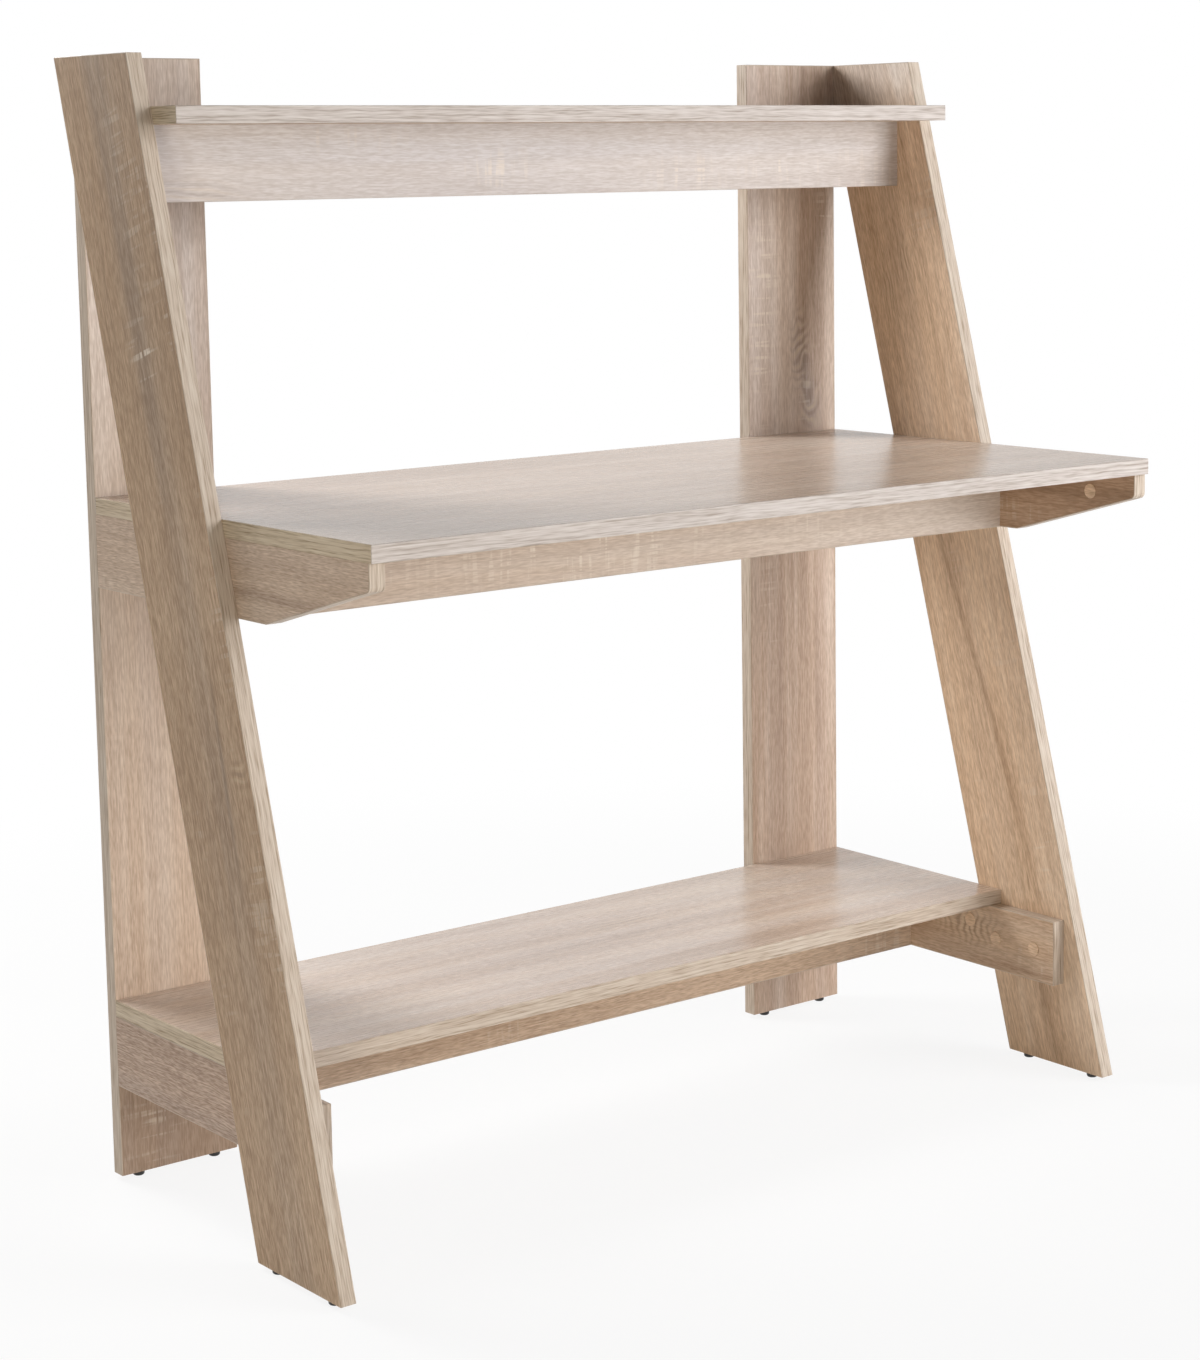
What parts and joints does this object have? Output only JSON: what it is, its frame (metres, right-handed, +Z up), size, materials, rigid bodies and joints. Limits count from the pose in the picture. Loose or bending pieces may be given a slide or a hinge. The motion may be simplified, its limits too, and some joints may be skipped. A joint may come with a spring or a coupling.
{
  "type": "trestle desk",
  "caption": "Ladder-style trestle desk of oak-faced board: upright rear legs, leaning front legs, a desk top on tapered brackets, a top shelf and a low shelf.",
  "frame": {"origin": "on the floor, under the middle of the desk's width and depth", "axes": "+X to the right of someone who faces the desk, +Y to the back, +Z up"},
  "size_m": [1.1, 0.551, 1.22],
  "materials": {
    "oak_board": "melamine-faced board with a sawn light oak decor",
    "oak_edging": "thin edge band with a pale oak decor",
    "zinc": "die-cast zinc",
    "steel": "zinc-plated steel",
    "beech": "plain beech",
    "caps": "oak-coloured plastic",
    "glides": "black plastic"
  },
  "bodies": {
    "root": {"top_shelf": "oak_board", "desktop": "oak_board", "lower_shelf": "oak_board", "top_rail": "oak_board", "desk_rail": "oak_board", "lower_rail": "oak_board", "rear_leg_left": "oak_board", "rear_leg_right": "oak_board", "front_leg_left": "oak_board", "front_leg_right": "oak_board", "desk_bracket_left": "oak_board", "desk_bracket_right": "oak_board", "lower_side_rail_left": "oak_board", "lower_side_rail_right": "oak_board", "top_shelf_edging": "oak_edging", "desktop_edging": "oak_edging", "lower_shelf_edging": "oak_edging", "top_rail_edging": "oak_edging", "desk_rail_edging": "oak_edging", "lower_rail_edging": "oak_edging", "rear_leg_left_edging": "oak_edging", "rear_leg_right_edging": "oak_edging", "front_leg_left_edging": "oak_edging", "front_leg_right_edging": "oak_edging", "desk_bracket_left_edging": "oak_edging", "desk_bracket_right_edging": "oak_edging", "lower_side_rail_left_edging": "oak_edging", "lower_side_rail_right_edging": "oak_edging", "cam_locks": "zinc", "cam_bolts": "steel", "dowels": "beech", "leg_bolts": "steel", "insert_nuts": "steel", "cover_caps": "caps", "glides": "glides"}
  },
  "joints": []
}
